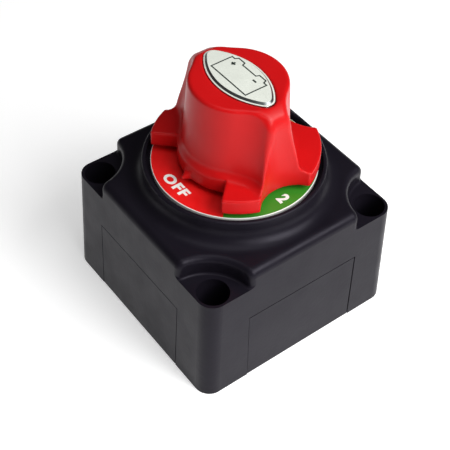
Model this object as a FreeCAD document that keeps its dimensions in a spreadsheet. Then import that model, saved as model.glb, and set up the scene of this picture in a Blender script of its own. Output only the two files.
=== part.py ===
import FreeCAD, Part
import Sketcher
import math
import os

# Rotary battery selector switch, four positions: OFF, 1, 1+2 and 2.
# The origin is the centre of the mounting face, +Z runs up the spindle and -Y points at OFF.
# Lengths are in millimetres and angles in degrees.

doc = FreeCAD.newDocument("BatterySwitch")

# ---------------------------------------------------------------- driving dimensions
DIMS = {
    "cutter_spare": 1.0,        # how far a cutting shape runs past what it cuts

    # housing
    "base_half": 34.5,          # half of the square mounting face
    "body_top": 43.0,           # flat shoulder under the dome
    "draft_angle": 1.87,        # side faces lean in by this much
    "corner_round": 4.75,       # upright corner radius
    "top_round": 2.6,           # edge round on the shoulder
    "ledge_level": 37.1,        # floor of the bolt recess in each corner
    "recess_round": 13.9,       # radius of that recess
    "recess_offset": 33.2,      # recess axis from the spindle, along X and along Y
    "recess_edge_round": 1.9,   # edge round where a recess opens
    "ledge_round": 0.8,         # hollow corner at the foot of its wall
    "bolt_offset": 28.0,        # mounting bolt from the spindle, along X and along Y
    "bolt_hole_radius": 2.65,
    "bolt_bore_radius": 4.6,    # deep bore that takes the bolt head
    "bolt_bore_floor": 5.5,
    "dome_foot_radius": 30.6,
    "dome_flank_radius": 4.3,   # hollow curve from the shoulder up to the rim
    "rim_outer_radius": 26.3,
    "rim_level": 50.2,
    "rim_round": 0.5,           # outer edge of the rim
    "crown_clear": 52.0,        # past the block's own corners
    "dial_recess_radius": 25.2,
    "chamber_half": 30.5,       # open terminal chamber below
    "boss_radius": 6.8,         # wall round each bolt bore
    "plate_seat": 27.0,         # where the back plate seats
    "contact_bore": 24.5,       # radius of the contact chamber
    "chamber_ceiling": 41.2,
    "shaft_bore": 7.05,
    # side panels
    "slot_half": 19.5,
    "slot_top": 25.5,
    "panel_gap": 0.25,
    "right_panel_shift": -0.15,  # the right panel sits to one side of its slot
    "panel_inner": 31.2,
    "panel_foot": 0.3,
    "groove_inner": 31.7,
    "groove_outer": 32.7,
    "groove_depth": 1.2,
    "groove_gap": 0.15,
    # dial
    "dial_radius": 23.86,
    "dial_top": 49.5,
    "dial_thick": 1.5,
    "dial_hole": 8.0,
    # back plate and fixed contacts
    "plate_thick": 5.0,
    "plate_clearance": 0.3,
    "screw_offset": 20.0,       # back plate screw from the spindle, along X and along Y
    "screw_radius": 1.5,
    "screw_reach": 7.0,
    "screw_head_radius": 2.8,
    "screw_head_height": 1.8,
    "contact_thick": 2.0,
    "contact_inner": 12.5,
    "contact_outer": 23.0,
    "contact_sweep": 104.0,     # each quarter contact spans this angle
    "contact_1_start": 96.0,
    "contact_2_start": -20.0,
    "hub_contact_radius": 9.0,
    "hub_tail_width": 10.0,
    "hub_tail_length": 23.0,
    # terminal studs, M10
    "stud_circle": 18.0,
    "stud_radius": 5.0,
    "stud_end": 3.0,
    "stud_free_length": 2.1,    # bare end that the cable lug goes on over
    "stud_relief_radius": 4.6,
    "stud_relief_height": 0.6,
    "stud_head_width": 13.0,
    "stud_head_height": 2.8,
    "stud_spigot": 4.0,
    "head_clearance": 0.1,
    "nut_flats": 16.0,
    "jam_nut_height": 4.5,
    "flat_washer_radius": 10.0,
    "flat_washer_thick": 1.6,
    "lock_washer_radius": 8.8,
    "lock_washer_thick": 2.2,
    "nut_height": 8.0,
    # rotor
    "rotor_radius": 23.7,
    "rotor_bottom": 30.0,
    "rotor_top": 39.8,
    "shoulder_radius": 11.0,
    "shoulder_top": 41.1,
    "shaft_radius": 7.0,
    "seal_groove_radius": 5.7,
    "seal_groove_bottom": 44.2,
    "seal_groove_top": 45.6,
    "shaft_top": 51.2,
    "tang_width": 10.0,
    "tang_top": 66.0,
    "seal_section": 0.64,
    "seal_ring_radius": 6.37,
    "arm_gap": 0.08,            # lift of the moving contact off the fixed ones
    "arm_thick": 2.0,
    "arm_disc_radius": 8.0,
    "arm_width": 10.0,
    "arm_reach": 22.0,
    "arm_clearance": 0.3,
    "arm_pocket_depth": 1.5,
    "spring_pocket_radius": 6.2,
    "spring_pocket_top": 38.0,
    "contact_coil_radius": 4.8,
    "contact_wire_radius": 0.45,
    "contact_coil_pitch": 1.7,
    "spring_gap": 0.05,
    "ball_radius": 2.0,
    "ball_circle": 22.2,        # a ball's centre from the spindle
    "ball_level": 35.8,
    "ball_bore": 2.1,
    "detent_bore_start": 11.0,
    "detent_coil_radius": 1.4,
    "detent_wire_radius": 0.25,
    "detent_coil_pitch": 1.2,
    "notch_radius": 2.2,
    "notch_circle": 23.3,
    "notch_bottom": 33.3,
    # knob
    "knob_bottom": 51.2,
    "knob_top": 78.2,
    "skirt_radius": 24.0,
    "skirt_top": 55.9,
    "foot_round": 2.6,
    "cone_foot_radius": 15.1,
    "cone_top_radius": 13.6,
    "fin_top_half": 3.0,
    "fin_foot_half": 6.1,
    "fin_reach": 30.0,          # past the skirt; the scoops cut the fins back
    "fin_blend": 5.0,           # hollow blend where a fin grows out of the cone
    "crown_round": 1.2,
    "fin_end_round": 2.6,
    "scoop_radius": 10.7,
    "scoop_circle": 28.9,
    "window_radius": 16.3,
    "window_half_angle": 43.6,
    "pointer_half": 1.3,
    "pointer_root": 15.5,
    "pointer_tip": 18.5,
    "pointer_top": 54.0,
    "core_inner": 8.5,
    "core_outer": 12.3,
    "core_top": 70.0,
    "socket_clearance": 0.05,
    "socket_top": 66.2,
    "knob_screw_radius": 2.5,
    "knob_screw_clearance": 0.1,
    "knob_screw_end": 56.0,
    "screw_seat": 70.0,
    "head_bore_radius": 4.7,
    "knob_head_radius": 4.4,
    "knob_head_height": 3.5,
    # badge
    "badge_half_length": 14.0,
    "badge_half_width": 6.5,
    "badge_floor": 76.3,
    "badge_top": 78.1,
    "badge_clearance": 0.15,
}


def derive(dims):
    """Add the sizes that follow from the driving ones."""
    lean = math.tan(math.radians(dims["draft_angle"]))
    dims["panel_half"] = dims["slot_half"] - dims["panel_gap"]
    dims["panel_top"] = dims["slot_top"] - dims["panel_gap"]
    dims["panel_face_foot"] = dims["base_half"] - lean * dims["panel_foot"]
    dims["panel_face_top"] = dims["base_half"] - lean * dims["panel_top"]
    dims["plate_half"] = dims["chamber_half"] - dims["plate_clearance"]
    dims["plate_bite"] = dims["boss_radius"] + dims["plate_clearance"]
    dims["plate_bottom"] = dims["plate_seat"] - dims["plate_thick"]
    dims["dial_floor"] = dims["dial_top"] - dims["dial_thick"]
    dims["contact_top"] = dims["plate_seat"] + dims["contact_thick"]
    dims["head_bottom"] = dims["plate_seat"] - dims["stud_head_height"]
    dims["arm_bottom"] = dims["contact_top"] + dims["arm_gap"]
    dims["arm_top"] = dims["arm_bottom"] + dims["arm_thick"]
    for outline in ("chamber", "plate"):
        bite = dims["boss_radius"] if outline == "chamber" else dims["plate_bite"]
        side = dims["bolt_offset"] - dims[outline + "_half"]
        dims[outline + "_notch"] = dims["bolt_offset"] - math.sqrt(bite ** 2 - side ** 2)
    dims["flank_top"] = dims["body_top"] + dims["dome_flank_radius"]
    dims["block_top"] = dims["rim_level"] + dims["cutter_spare"]
    dims["slot_width"] = 2 * dims["slot_half"]
    dims["groove_half"] = dims["slot_half"] + dims["groove_depth"]
    dims["groove_span"] = 2 * dims["groove_half"]
    dims["groove_wide"] = dims["groove_outer"] - dims["groove_inner"]
    dims["panel_width"] = 2 * dims["panel_half"]
    dims["panel_height"] = dims["panel_top"] - dims["panel_foot"]
    dims["tongue_half"] = dims["groove_half"] - dims["panel_gap"]
    dims["tongue_span"] = 2 * dims["tongue_half"]
    dims["tongue_wide"] = dims["groove_wide"] - 2 * dims["groove_gap"]
    dims["tongue_outer"] = dims["groove_outer"] - dims["groove_gap"]
    dims["chamber_height"] = dims["chamber_ceiling"] - dims["plate_seat"]
    dims["tang_half"] = dims["tang_width"] / 2
    dims["tang_height"] = dims["tang_top"] - dims["shaft_top"]
    dims["socket_half"] = dims["tang_half"] + dims["socket_clearance"]
    dims["socket_width"] = 2 * dims["socket_half"]
    dims["socket_height"] = dims["socket_top"] - dims["knob_bottom"]
    dims["fin_length"] = 2 * dims["fin_reach"]
    dims["pointer_height"] = dims["pointer_top"] - dims["knob_bottom"]
    dims["badge_depth"] = dims["knob_top"] - dims["badge_floor"]
    dims["badge_thick"] = dims["badge_top"] - dims["badge_floor"]
    dims["screw_bore"] = dims["knob_screw_radius"] + dims["knob_screw_clearance"]
    dims["knob_screw_length"] = dims["screw_seat"] - dims["knob_screw_end"]
    dims["slot_start"] = dims["chamber_half"] - dims["cutter_spare"]
    dims["slot_depth"] = dims["base_half"] - dims["slot_start"] + dims["cutter_spare"]
    dims["notch_height"] = dims["chamber_ceiling"] - dims["notch_bottom"]
    dims["head_pocket"] = dims["stud_head_width"] + 2 * dims["head_clearance"]
    dims["stud_head_half"] = dims["stud_head_width"] / 2
    dims["relief_bottom"] = dims["stud_end"] + dims["stud_free_length"]
    dims["shank_bottom"] = dims["relief_bottom"] + dims["stud_relief_height"]
    dims["shank_length"] = dims["head_bottom"] - dims["shank_bottom"]
    dims["nut_corner_radius"] = dims["nut_flats"] / math.sqrt(3)
    dims["jam_nut_bottom"] = dims["plate_bottom"] - dims["jam_nut_height"]
    dims["flat_washer_bottom"] = dims["jam_nut_bottom"] - dims["flat_washer_thick"]
    dims["lock_washer_bottom"] = dims["flat_washer_bottom"] - dims["lock_washer_thick"]
    dims["nut_bottom"] = dims["lock_washer_bottom"] - dims["nut_height"]
    dims["hub_tail_half"] = dims["hub_tail_width"] / 2
    dims["plate_screw_length"] = dims["plate_thick"] + dims["screw_reach"]
    dims["screw_head_bottom"] = dims["plate_bottom"] - dims["screw_head_height"]
    dims["arm_half"] = dims["arm_width"] / 2
    dims["arm_pocket_half"] = dims["arm_half"] + dims["arm_clearance"]
    dims["arm_pocket_radius"] = dims["arm_disc_radius"] + dims["arm_clearance"]
    dims["arm_pocket_reach"] = dims["arm_reach"] + dims["arm_clearance"]
    dims["spring_pocket_depth"] = dims["spring_pocket_top"] - dims["rotor_bottom"]
    dims["contact_coil_bottom"] = dims["arm_top"] + dims["contact_wire_radius"] + dims["spring_gap"]
    dims["contact_coil_height"] = (dims["spring_pocket_top"] - dims["spring_gap"]
                                   - dims["contact_wire_radius"] - dims["contact_coil_bottom"])
    dims["detent_bore_length"] = dims["rotor_radius"] + dims["cutter_spare"] - dims["detent_bore_start"]
    dims["detent_coil_start"] = (dims["detent_bore_start"] + dims["detent_wire_radius"]
                                 + dims["spring_gap"])
    dims["detent_coil_height"] = (dims["ball_circle"] - dims["ball_radius"] - dims["spring_gap"]
                                  - dims["detent_wire_radius"] - dims["detent_coil_start"])
    dims["seal_level"] = (dims["seal_groove_bottom"] + dims["seal_groove_top"]) / 2
    half_window = math.radians(dims["window_half_angle"])
    dims["window_clear"] = dims["skirt_radius"] + dims["cutter_spare"]
    for ring, radius in (("inner", dims["window_radius"]), ("outer", dims["window_clear"])):
        dims["window_%s_x" % ring] = radius * math.sin(half_window)
        dims["window_%s_y" % ring] = radius * math.cos(half_window)
    length = dims["badge_half_length"]
    width = dims["badge_half_width"]
    dims["badge_arc"] = (length ** 2 + width ** 2) / (2 * width)
    dims["badge_recess_half_length"] = length + dims["badge_clearance"]
    dims["badge_recess_arc"] = dims["badge_arc"] + dims["badge_clearance"]
    return dims


derive(DIMS)
sheet = doc.addObject("Spreadsheet::Sheet", "Dims")
for row, (alias, number) in enumerate(DIMS.items(), start=1):
    sheet.set("A%d" % row, alias)
    sheet.set("B%d" % row, "%.6f" % number)
    sheet.setAlias("B%d" % row, alias)
doc.recompute()

UP = FreeCAD.Vector(0, 0, 1)
SIDES = (("front", 0), ("right", 90), ("back", 180), ("left", 270))
TERMINALS = {"1": 150, "2": 30, "common": 270}    # angle of each stud round the spindle
TOUCH = 1e-4      # points closer than this are the same point
NEAR = 0.1        # slack when an edge is picked out by where it lies


# ---------------------------------------------------------------- building helpers
def size(alias):
    """A named size, or its negative when the name starts with a minus."""
    if alias == "zero":
        return 0.0
    if alias.startswith("-"):
        return -DIMS[alias[1:]]
    return DIMS[alias]


def bind(obj, prop, alias):
    """Tie a property to its cell; a leading minus is kept."""
    if alias == "zero":
        return
    sign = "-" if alias.startswith("-") else ""
    obj.setExpression(prop, "%sDims.%s" % (sign, alias.lstrip("-")))


def new_body(name):
    body = doc.addObject("PartDesign::Body", name)
    body.Label = name
    return body


def origin_plane(body, role):
    return next(item for item in body.Origin.OriginFeatures if item.Role == role)


def attach(feature, body, role="XY_Plane"):
    feature.AttachmentSupport = [(origin_plane(body, role), "")]
    feature.MapMode = "FlatFace"


def new_sketch(body, name, role="XY_Plane", level=None):
    sketch = body.newObject("Sketcher::SketchObject", name)
    attach(sketch, body, role)
    if level:
        bind(sketch, "AttachmentOffset.Base.z", level)
    return sketch


def arc_crest(start, end, radius, side):
    """Middle of the short arc between two points; side +1 bulges to the right of the way along it."""
    chord = end - start
    rise = radius - math.sqrt(radius ** 2 - (chord.Length / 2) ** 2)
    right = FreeCAD.Vector(chord.y, -chord.x, 0).normalize()
    return (start + end) * 0.5 + right * rise * side


def hold(sketch, prop_alias, *constraint):
    """Add one dimension to a sketch and tie it to its cell."""
    index = sketch.addConstraint(Sketcher.Constraint(*constraint, size(prop_alias)))
    bind(sketch, "Constraints[%d]" % index, prop_alias)


def closed_outline(sketch, corners):
    """Close a loop of edges. A corner is (x, y), or (x, y, radius, side) where an arc leaves it."""
    points = [FreeCAD.Vector(size(corner[0]), size(corner[1]), 0) for corner in corners]
    first = sketch.GeometryCount
    for number, corner in enumerate(corners):
        start = points[number]
        end = points[(number + 1) % len(points)]
        if len(corner) == 2:
            sketch.addGeometry(Part.LineSegment(start, end))
        else:
            crest = arc_crest(start, end, size(corner[2]), corner[3])
            sketch.addGeometry(Part.Arc(start, crest, end))
    # an arc is stored anticlockwise, so its start may be the corner it ends at
    starts = []
    for number, point in enumerate(points):
        at_start = (sketch.getPoint(first + number, 1) - point).Length < TOUCH
        starts.append(1 if at_start else 2)
    for number, corner in enumerate(corners):
        edge = first + number
        following = (number + 1) % len(corners)
        end = 3 - starts[number]
        sketch.addConstraint(
            Sketcher.Constraint("Coincident", edge, end, first + following, starts[following]))
        hold(sketch, corner[0], "DistanceX", -1, 1, edge, starts[number])
        hold(sketch, corner[1], "DistanceY", -1, 1, edge, starts[number])
        if len(corner) == 4:
            hold(sketch, corner[2], "Radius", edge)


def pad(body, name, sketch, length, symmetric=False):
    feature = body.newObject("PartDesign::Pad", name)
    feature.Profile = sketch
    if symmetric:
        feature.SideType = "Symmetric"
    bind(feature, "Length", length)
    return feature


def pocket(body, name, sketch, length, upward=False):
    feature = body.newObject("PartDesign::Pocket", name)
    feature.Profile = sketch
    feature.Reversed = upward
    bind(feature, "Length", length)
    return feature


def revolve(body, name, sketch):
    feature = body.newObject("PartDesign::Revolution", name)
    feature.Profile = sketch
    feature.ReferenceAxis = (sketch, ["V_Axis"])
    feature.Angle = 360
    return feature


def groove(body, name, sketch):
    feature = body.newObject("PartDesign::Groove", name)
    feature.Profile = sketch
    feature.ReferenceAxis = (sketch, ["V_Axis"])
    feature.Angle = 360
    return feature


def lift(feature, across="zero", along="zero", level="zero"):
    """Place a body's own primitive by named distances from the spindle and the base."""
    for letter, alias in zip("xyz", (across, along, level)):
        bind(feature, "AttachmentOffset.Base." + letter, alias)


def round_bar(body, kind, name, radius, height, across="zero", along="zero", level="zero"):
    """Add ("Additive") or remove ("Subtractive") an upright cylinder."""
    feature = body.newObject("PartDesign::%sCylinder" % kind, name)
    attach(feature, body)
    bind(feature, "Radius", radius)
    bind(feature, "Height", height)
    lift(feature, across, along, level)
    return feature


def square_bar(body, kind, name, sides, across="zero", along="zero", level="zero"):
    """Add or remove a box; sides are its lengths along X, Y and Z."""
    feature = body.newObject("PartDesign::%sBox" % kind, name)
    attach(feature, body)
    for prop, alias in zip(("Length", "Width", "Height"), sides):
        bind(feature, prop, alias)
    lift(feature, across, along, level)
    return feature


def quarter_pattern(body, name, features):
    """Repeat features at the four quarters round the spindle."""
    pattern = body.newObject("PartDesign::PolarPattern", name)
    pattern.Originals = features
    pattern.Axis = (origin_axis(body), [""])
    pattern.Angle = 360
    pattern.Occurrences = 4
    body.Tip = pattern
    return pattern


def origin_axis(body, role="Z_Axis"):
    return next(item for item in body.Origin.OriginFeatures if item.Role == role)


def chosen_edges(feature, wanted):
    """Names of the feature's edges for which wanted(edge) is true."""
    edges = feature.Shape.Edges
    return ["Edge%d" % number for number, edge in enumerate(edges, start=1) if wanted(edge)]


def fillet(body, name, base, radius, wanted):
    doc.recompute()
    feature = body.newObject("PartDesign::Fillet", name)
    feature.Base = (base, chosen_edges(base, wanted))
    bind(feature, "Radius", radius)
    return feature


def level_span(edge):
    box = edge.BoundBox
    return box.ZMin, box.ZMax


def edge_middle(edge):
    return edge.valueAt((edge.FirstParameter + edge.LastParameter) / 2)


def edge_middle_radius(edge):
    middle = edge_middle(edge)
    return math.hypot(middle.x, middle.y)


def lies_at(edge, level):
    low, high = level_span(edge)
    return abs(low - level) < TOUCH and abs(high - level) < TOUCH


def cylinder(name, radius, height, level="zero"):
    shape = doc.addObject("Part::Cylinder", name)
    bind(shape, "Radius", radius)
    bind(shape, "Height", height)
    bind(shape, "Placement.Base.z", level)
    return shape


def turn(obj, angle, across=0.0, along=0.0, level=0.0):
    obj.Placement = FreeCAD.Placement(
        FreeCAD.Vector(across, along, level), FreeCAD.Rotation(UP, angle))


def on_circle(radius, angle):
    turned = math.radians(angle)
    return radius * math.cos(turned), radius * math.sin(turned)


def fuse(name, shapes):
    joined = doc.addObject("Part::MultiFuse", name)
    joined.Shapes = shapes
    return joined


def cut(name, base, tool):
    result = doc.addObject("Part::Cut", name)
    result.Base = base
    result.Tool = tool
    return result


def group(name, members):
    """Identical fasteners kept as separate solids in one node."""
    compound = doc.addObject("Part::Compound", name)
    compound.Links = members
    compound.Label = name
    return compound


# ---------------------------------------------------------------- housing and covers
def chamber_corners(half, notch, radius):
    """Square outline whose corners are bitten away round the bolt bores."""
    far = "-" + half
    back = "-" + notch
    return [(half, back), (half, notch, radius, -1), (notch, half), (back, half, radius, -1),
            (far, notch), (far, back, radius, -1), (back, far), (notch, far, radius, -1)]


def square_corners(half):
    far = "-" + half
    return [(far, far), (half, far), (half, half), (far, half)]


def make_housing():
    body = new_body("housing")
    foot = new_sketch(body, "HousingFoot")
    closed_outline(foot, square_corners("base_half"))
    block = pad(body, "HousingBlock", foot, "rim_level")
    block.TaperAngle = -DIMS["draft_angle"]
    fillet(body, "UprightCorners", block, "corner_round", is_upright)

    crown = new_sketch(body, "CrownProfile", "XZ_Plane")
    closed_outline(crown, [
        ("rim_outer_radius", "block_top"), ("rim_outer_radius", "flank_top", "dome_flank_radius", 1),
        ("dome_foot_radius", "body_top"), ("crown_clear", "body_top"), ("crown_clear", "block_top")])
    crown = groove(body, "Crown", crown)
    fillet(body, "ShoulderRound", crown, "top_round", is_shoulder_edge)

    recess = round_bar(body, "Subtractive", "BoltRecess", "recess_round", "recess_round",
                       "recess_offset", "recess_offset", "ledge_level")
    recesses = quarter_pattern(body, "BoltRecesses", [recess])
    opened = fillet(body, "RecessEdgeRound", recesses, "recess_edge_round", is_recess_edge)
    rim = fillet(body, "LedgeRound", opened, "ledge_round", is_ledge_corner)
    fillet(body, "RimRound", rim, "rim_round", is_rim_edge)
    round_bar(body, "Subtractive", "DialRecess", "dial_recess_radius", "dial_recess_radius",
              level="dial_floor")

    chamber = new_sketch(body, "ChamberOutline")
    closed_outline(chamber, chamber_corners("chamber_half", "chamber_notch", "boss_radius"))
    pocket(body, "TerminalChamber", chamber, "plate_seat", upward=True)
    round_bar(body, "Subtractive", "ContactChamber", "contact_bore", "chamber_height",
              level="plate_seat")
    round_bar(body, "Subtractive", "ShaftBore", "shaft_bore", "rim_level")

    repeated = [
        round_bar(body, "Subtractive", "BoltBore", "bolt_bore_radius", "rim_level",
                  "bolt_offset", "bolt_offset", "bolt_bore_floor"),
        round_bar(body, "Subtractive", "BoltHole", "bolt_hole_radius", "rim_level",
                  "bolt_offset", "bolt_offset"),
        round_bar(body, "Subtractive", "PlateScrewHole", "screw_radius", "screw_reach",
                  "screw_offset", "screw_offset", "plate_seat"),
        round_bar(body, "Subtractive", "DetentNotch", "notch_radius", "notch_height",
                  "notch_circle", "zero", "notch_bottom"),
        square_bar(body, "Subtractive", "PanelSlot", ("slot_width", "slot_depth", "slot_top"),
                   "-slot_half", "slot_start"),
        square_bar(body, "Subtractive", "PanelGroove", ("groove_span", "groove_wide", "slot_top"),
                   "-groove_half", "groove_inner"),
    ]
    quarter_pattern(body, "FourSides", repeated)
    return body


def is_upright(edge):
    """One of the block's four upright corners."""
    low, high = level_span(edge)
    return high - low > DIMS["body_top"] / 2


def is_shoulder_edge(edge):
    """The outer edge of the shoulder, not the circle where the dome rises from it."""
    return (lies_at(edge, DIMS["body_top"])
            and edge_middle_radius(edge) > DIMS["dome_foot_radius"] + NEAR)


def from_recess_axis(point):
    """How far a point lies from the wall of the nearest bolt recess."""
    across = abs(point.x) - DIMS["recess_offset"]
    along = abs(point.y) - DIMS["recess_offset"]
    return abs(math.hypot(across, along) - DIMS["recess_round"])


def is_recess_edge(edge):
    """The curve along which a bolt recess breaks the shoulder and the side faces."""
    on_wall = all(from_recess_axis(point) < TOUCH for point in edge.discretize(5))
    return on_wall and level_span(edge)[1] > DIMS["ledge_level"] + NEAR


def is_ledge_corner(edge):
    """The foot of a recess wall."""
    return lies_at(edge, DIMS["ledge_level"]) and from_recess_axis(edge_middle(edge)) < TOUCH


def is_rim_edge(edge):
    return lies_at(edge, DIMS["rim_level"])


def make_panel(side, angle):
    body = new_body("side_panel_" + side)
    profile = new_sketch(body, "PanelProfile_" + side, "YZ_Plane")
    closed_outline(profile, [("-panel_face_foot", "panel_foot"), ("-panel_inner", "panel_foot"),
                             ("-panel_inner", "panel_top"), ("-panel_face_top", "panel_top")])
    pad(body, "PanelPlate_" + side, profile, "panel_width", symmetric=True)
    square_bar(body, "Additive", "PanelTongues_" + side, ("tongue_span", "tongue_wide", "panel_height"),
               "-tongue_half", "-tongue_outer", "panel_foot")
    turn(body, angle, along=DIMS["right_panel_shift"] if side == "right" else 0.0)
    return body


def make_dial_plate():
    disc = cylinder("DialDisc", "dial_radius", "dial_thick", "dial_floor")
    hole = cylinder("DialHole", "dial_hole", "dial_top")
    dial = cut("dial_plate", disc, hole)
    dial.Label = "dial_plate"
    return dial


def make_back_plate():
    body = new_body("back_plate")
    outline = new_sketch(body, "PlateOutline", level="plate_bottom")
    closed_outline(outline, chamber_corners("plate_half", "plate_notch", "plate_bite"))
    pad(body, "PlateSlab", outline, "plate_thick")
    hole = round_bar(body, "Subtractive", "PlateScrewClearance", "screw_radius", "rim_level",
                     "screw_offset", "screw_offset")
    quarter_pattern(body, "PlateScrewHoles", [hole])
    for name, angle in TERMINALS.items():
        across, along = on_circle(DIMS["stud_circle"], angle)
        shank = round_bar(body, "Subtractive", "StudHole_" + name, "stud_radius", "rim_level")
        seat = square_bar(body, "Subtractive", "HeadPocket_" + name,
                          ("head_pocket", "head_pocket", "stud_head_height"))
        half = DIMS["head_pocket"] / 2
        corner = FreeCAD.Placement(FreeCAD.Vector(across, along, DIMS["head_bottom"]),
                                   FreeCAD.Rotation(UP, angle))
        seat.AttachmentOffset = corner.multiply(
            FreeCAD.Placement(FreeCAD.Vector(-half, -half, 0), FreeCAD.Rotation()))
        shank.AttachmentOffset = FreeCAD.Placement(FreeCAD.Vector(across, along, 0), FreeCAD.Rotation())
    return body


def make_plate_screws():
    """Four pan-head screws up through the back plate into the housing."""
    screws = []
    offset = DIMS["screw_offset"]
    for number, (x_sign, y_sign) in enumerate(((1, 1), (-1, 1), (-1, -1), (1, -1)), start=1):
        shank = cylinder("PlateScrewShank%d" % number, "screw_radius", "plate_screw_length",
                         "plate_bottom")
        head = cylinder("PlateScrewHead%d" % number, "screw_head_radius", "screw_head_height",
                        "screw_head_bottom")
        screw = fuse("PlateScrew%d" % number, [shank, head])
        turn(screw, 0, x_sign * offset, y_sign * offset)
        screws.append(screw)
    return group("back_plate_screws", screws)


# ---------------------------------------------------------------- contacts and terminals
def make_quarter_contact(name):
    """Flat copper arc under the path of the moving contact."""
    start = DIMS["contact_%s_start" % name]
    node = "contact_plate_" + name
    plate = cylinder("Sector_" + name, "contact_outer", "contact_thick", "plate_seat")
    bind(plate, "Angle", "contact_sweep")
    inner = cylinder("SectorBore_" + name, "contact_inner", "rim_level")
    rivet = cylinder("SectorRivet_" + name, "stud_spigot", "rim_level")
    across, along = on_circle(DIMS["stud_circle"], TERMINALS[name] - start)
    turn(rivet, 0, across, along)
    contact = cut(node, plate, fuse("SectorTools_" + name, [inner, rivet]))
    contact.Label = node
    turn(contact, start)
    return contact


def make_common_contact():
    """Round centre contact with a tail out to its stud."""
    disc = cylinder("HubDisc", "hub_contact_radius", "contact_thick", "plate_seat")
    tail = doc.addObject("Part::Box", "HubTail")
    bind(tail, "Length", "hub_tail_width")
    bind(tail, "Width", "hub_tail_length")
    bind(tail, "Height", "contact_thick")
    bind(tail, "Placement.Base.x", "-hub_tail_half")
    bind(tail, "Placement.Base.y", "-hub_tail_length")
    bind(tail, "Placement.Base.z", "plate_seat")
    rivet = cylinder("HubRivet", "stud_spigot", "rim_level")
    bind(rivet, "Placement.Base.y", "-stud_circle")
    contact = cut("contact_plate_common", fuse("HubPlate", [disc, tail]), rivet)
    contact.Label = "contact_plate_common"
    return contact


def make_stud(name):
    """M10 stud: square head held in the back plate, spigot riveted into its contact.
    A narrow relief parts the bare end from the length that carries the nuts."""
    node = "terminal_stud_" + name
    angle = TERMINALS[name]
    end = cylinder("FreeEnd_" + name, "stud_radius", "stud_free_length", "stud_end")
    relief = cylinder("Relief_" + name, "stud_relief_radius", "stud_relief_height", "relief_bottom")
    shank = cylinder("Shank_" + name, "stud_radius", "shank_length", "shank_bottom")
    spigot = cylinder("Spigot_" + name, "stud_spigot", "contact_thick", "plate_seat")
    head = doc.addObject("Part::Box", "Head_" + name)
    bind(head, "Length", "stud_head_width")
    bind(head, "Width", "stud_head_width")
    bind(head, "Height", "stud_head_height")
    bind(head, "Placement.Base.x", "-stud_head_half")
    bind(head, "Placement.Base.y", "-stud_head_half")
    bind(head, "Placement.Base.z", "head_bottom")
    stud = fuse(node, [end, relief, shank, spigot, head])
    stud.Label = node
    turn(stud, angle, *on_circle(DIMS["stud_circle"], angle))
    return stud


def make_nut(name, angle, height, level):
    prism = doc.addObject("Part::Prism", "Hex_" + name)
    prism.Polygon = 6
    bind(prism, "Circumradius", "nut_corner_radius")
    bind(prism, "Height", height)
    bind(prism, "Placement.Base.z", level)
    nut = cut(name, prism, cylinder("NutBore_" + name, "stud_radius", "rim_level"))
    turn(nut, angle, *on_circle(DIMS["stud_circle"], angle))
    return nut


def make_washer(name, angle, radius, thick, level):
    disc = cylinder("Disc_" + name, radius, thick, level)
    washer = cut(name, disc, cylinder("WasherBore_" + name, "stud_radius", "rim_level"))
    turn(washer, angle, *on_circle(DIMS["stud_circle"], angle))
    return washer


def make_terminal_hardware():
    jam_nuts = []
    flat_washers = []
    lock_washers = []
    nuts = []
    for name, angle in TERMINALS.items():
        jam_nuts.append(make_nut("JamNut_" + name, angle, "jam_nut_height", "jam_nut_bottom"))
        flat_washers.append(make_washer("FlatWasher_" + name, angle, "flat_washer_radius",
                                        "flat_washer_thick", "flat_washer_bottom"))
        lock_washers.append(make_washer("LockWasher_" + name, angle, "lock_washer_radius",
                                        "lock_washer_thick", "lock_washer_bottom"))
        nuts.append(make_nut("Nut_" + name, angle, "nut_height", "nut_bottom"))
    return [group("jam_nuts", jam_nuts), group("flat_washers", flat_washers),
            group("lock_washers", lock_washers), group("terminal_nuts", nuts)]


# ---------------------------------------------------------------- rotor and what rides in it
def arm_corners(half, reach):
    return [("-" + half, "zero"), ("-" + half, "-" + reach), (half, "-" + reach), (half, "zero")]


def make_rotor():
    body = new_body("rotor")
    profile = new_sketch(body, "RotorProfile", "XZ_Plane")
    closed_outline(profile, [
        ("zero", "rotor_bottom"), ("rotor_radius", "rotor_bottom"), ("rotor_radius", "rotor_top"),
        ("shoulder_radius", "rotor_top"), ("shoulder_radius", "shoulder_top"),
        ("shaft_radius", "shoulder_top"), ("shaft_radius", "seal_groove_bottom"),
        ("seal_groove_radius", "seal_groove_bottom"), ("seal_groove_radius", "seal_groove_top"),
        ("shaft_radius", "seal_groove_top"), ("shaft_radius", "shaft_top"), ("zero", "shaft_top")])
    revolve(body, "RotorTurned", profile)
    square_bar(body, "Additive", "Tang", ("tang_width", "tang_width", "tang_height"),
               "-tang_half", "-tang_half", "shaft_top")
    round_bar(body, "Subtractive", "ScrewHole", "knob_screw_radius", "rotor_bottom",
              level="knob_screw_end")
    round_bar(body, "Subtractive", "ArmHub", "arm_pocket_radius", "arm_pocket_depth",
              level="rotor_bottom")
    arm = new_sketch(body, "ArmPocketOutline", level="rotor_bottom")
    closed_outline(arm, arm_corners("arm_pocket_half", "arm_pocket_reach"))
    pocket(body, "ArmPocket", arm, "arm_pocket_depth", upward=True)
    round_bar(body, "Subtractive", "SpringPocket", "spring_pocket_radius", "spring_pocket_depth",
              level="rotor_bottom")
    for side, angle in (("right", 90), ("left", -90)):
        bore = round_bar(body, "Subtractive", "BallBore_" + side, "ball_bore", "detent_bore_length")
        start = math.copysign(DIMS["detent_bore_start"], angle)
        bore.AttachmentOffset = FreeCAD.Placement(
            FreeCAD.Vector(start, 0, DIMS["ball_level"]),
            FreeCAD.Rotation(FreeCAD.Vector(0, 1, 0), angle))
    return body


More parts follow.
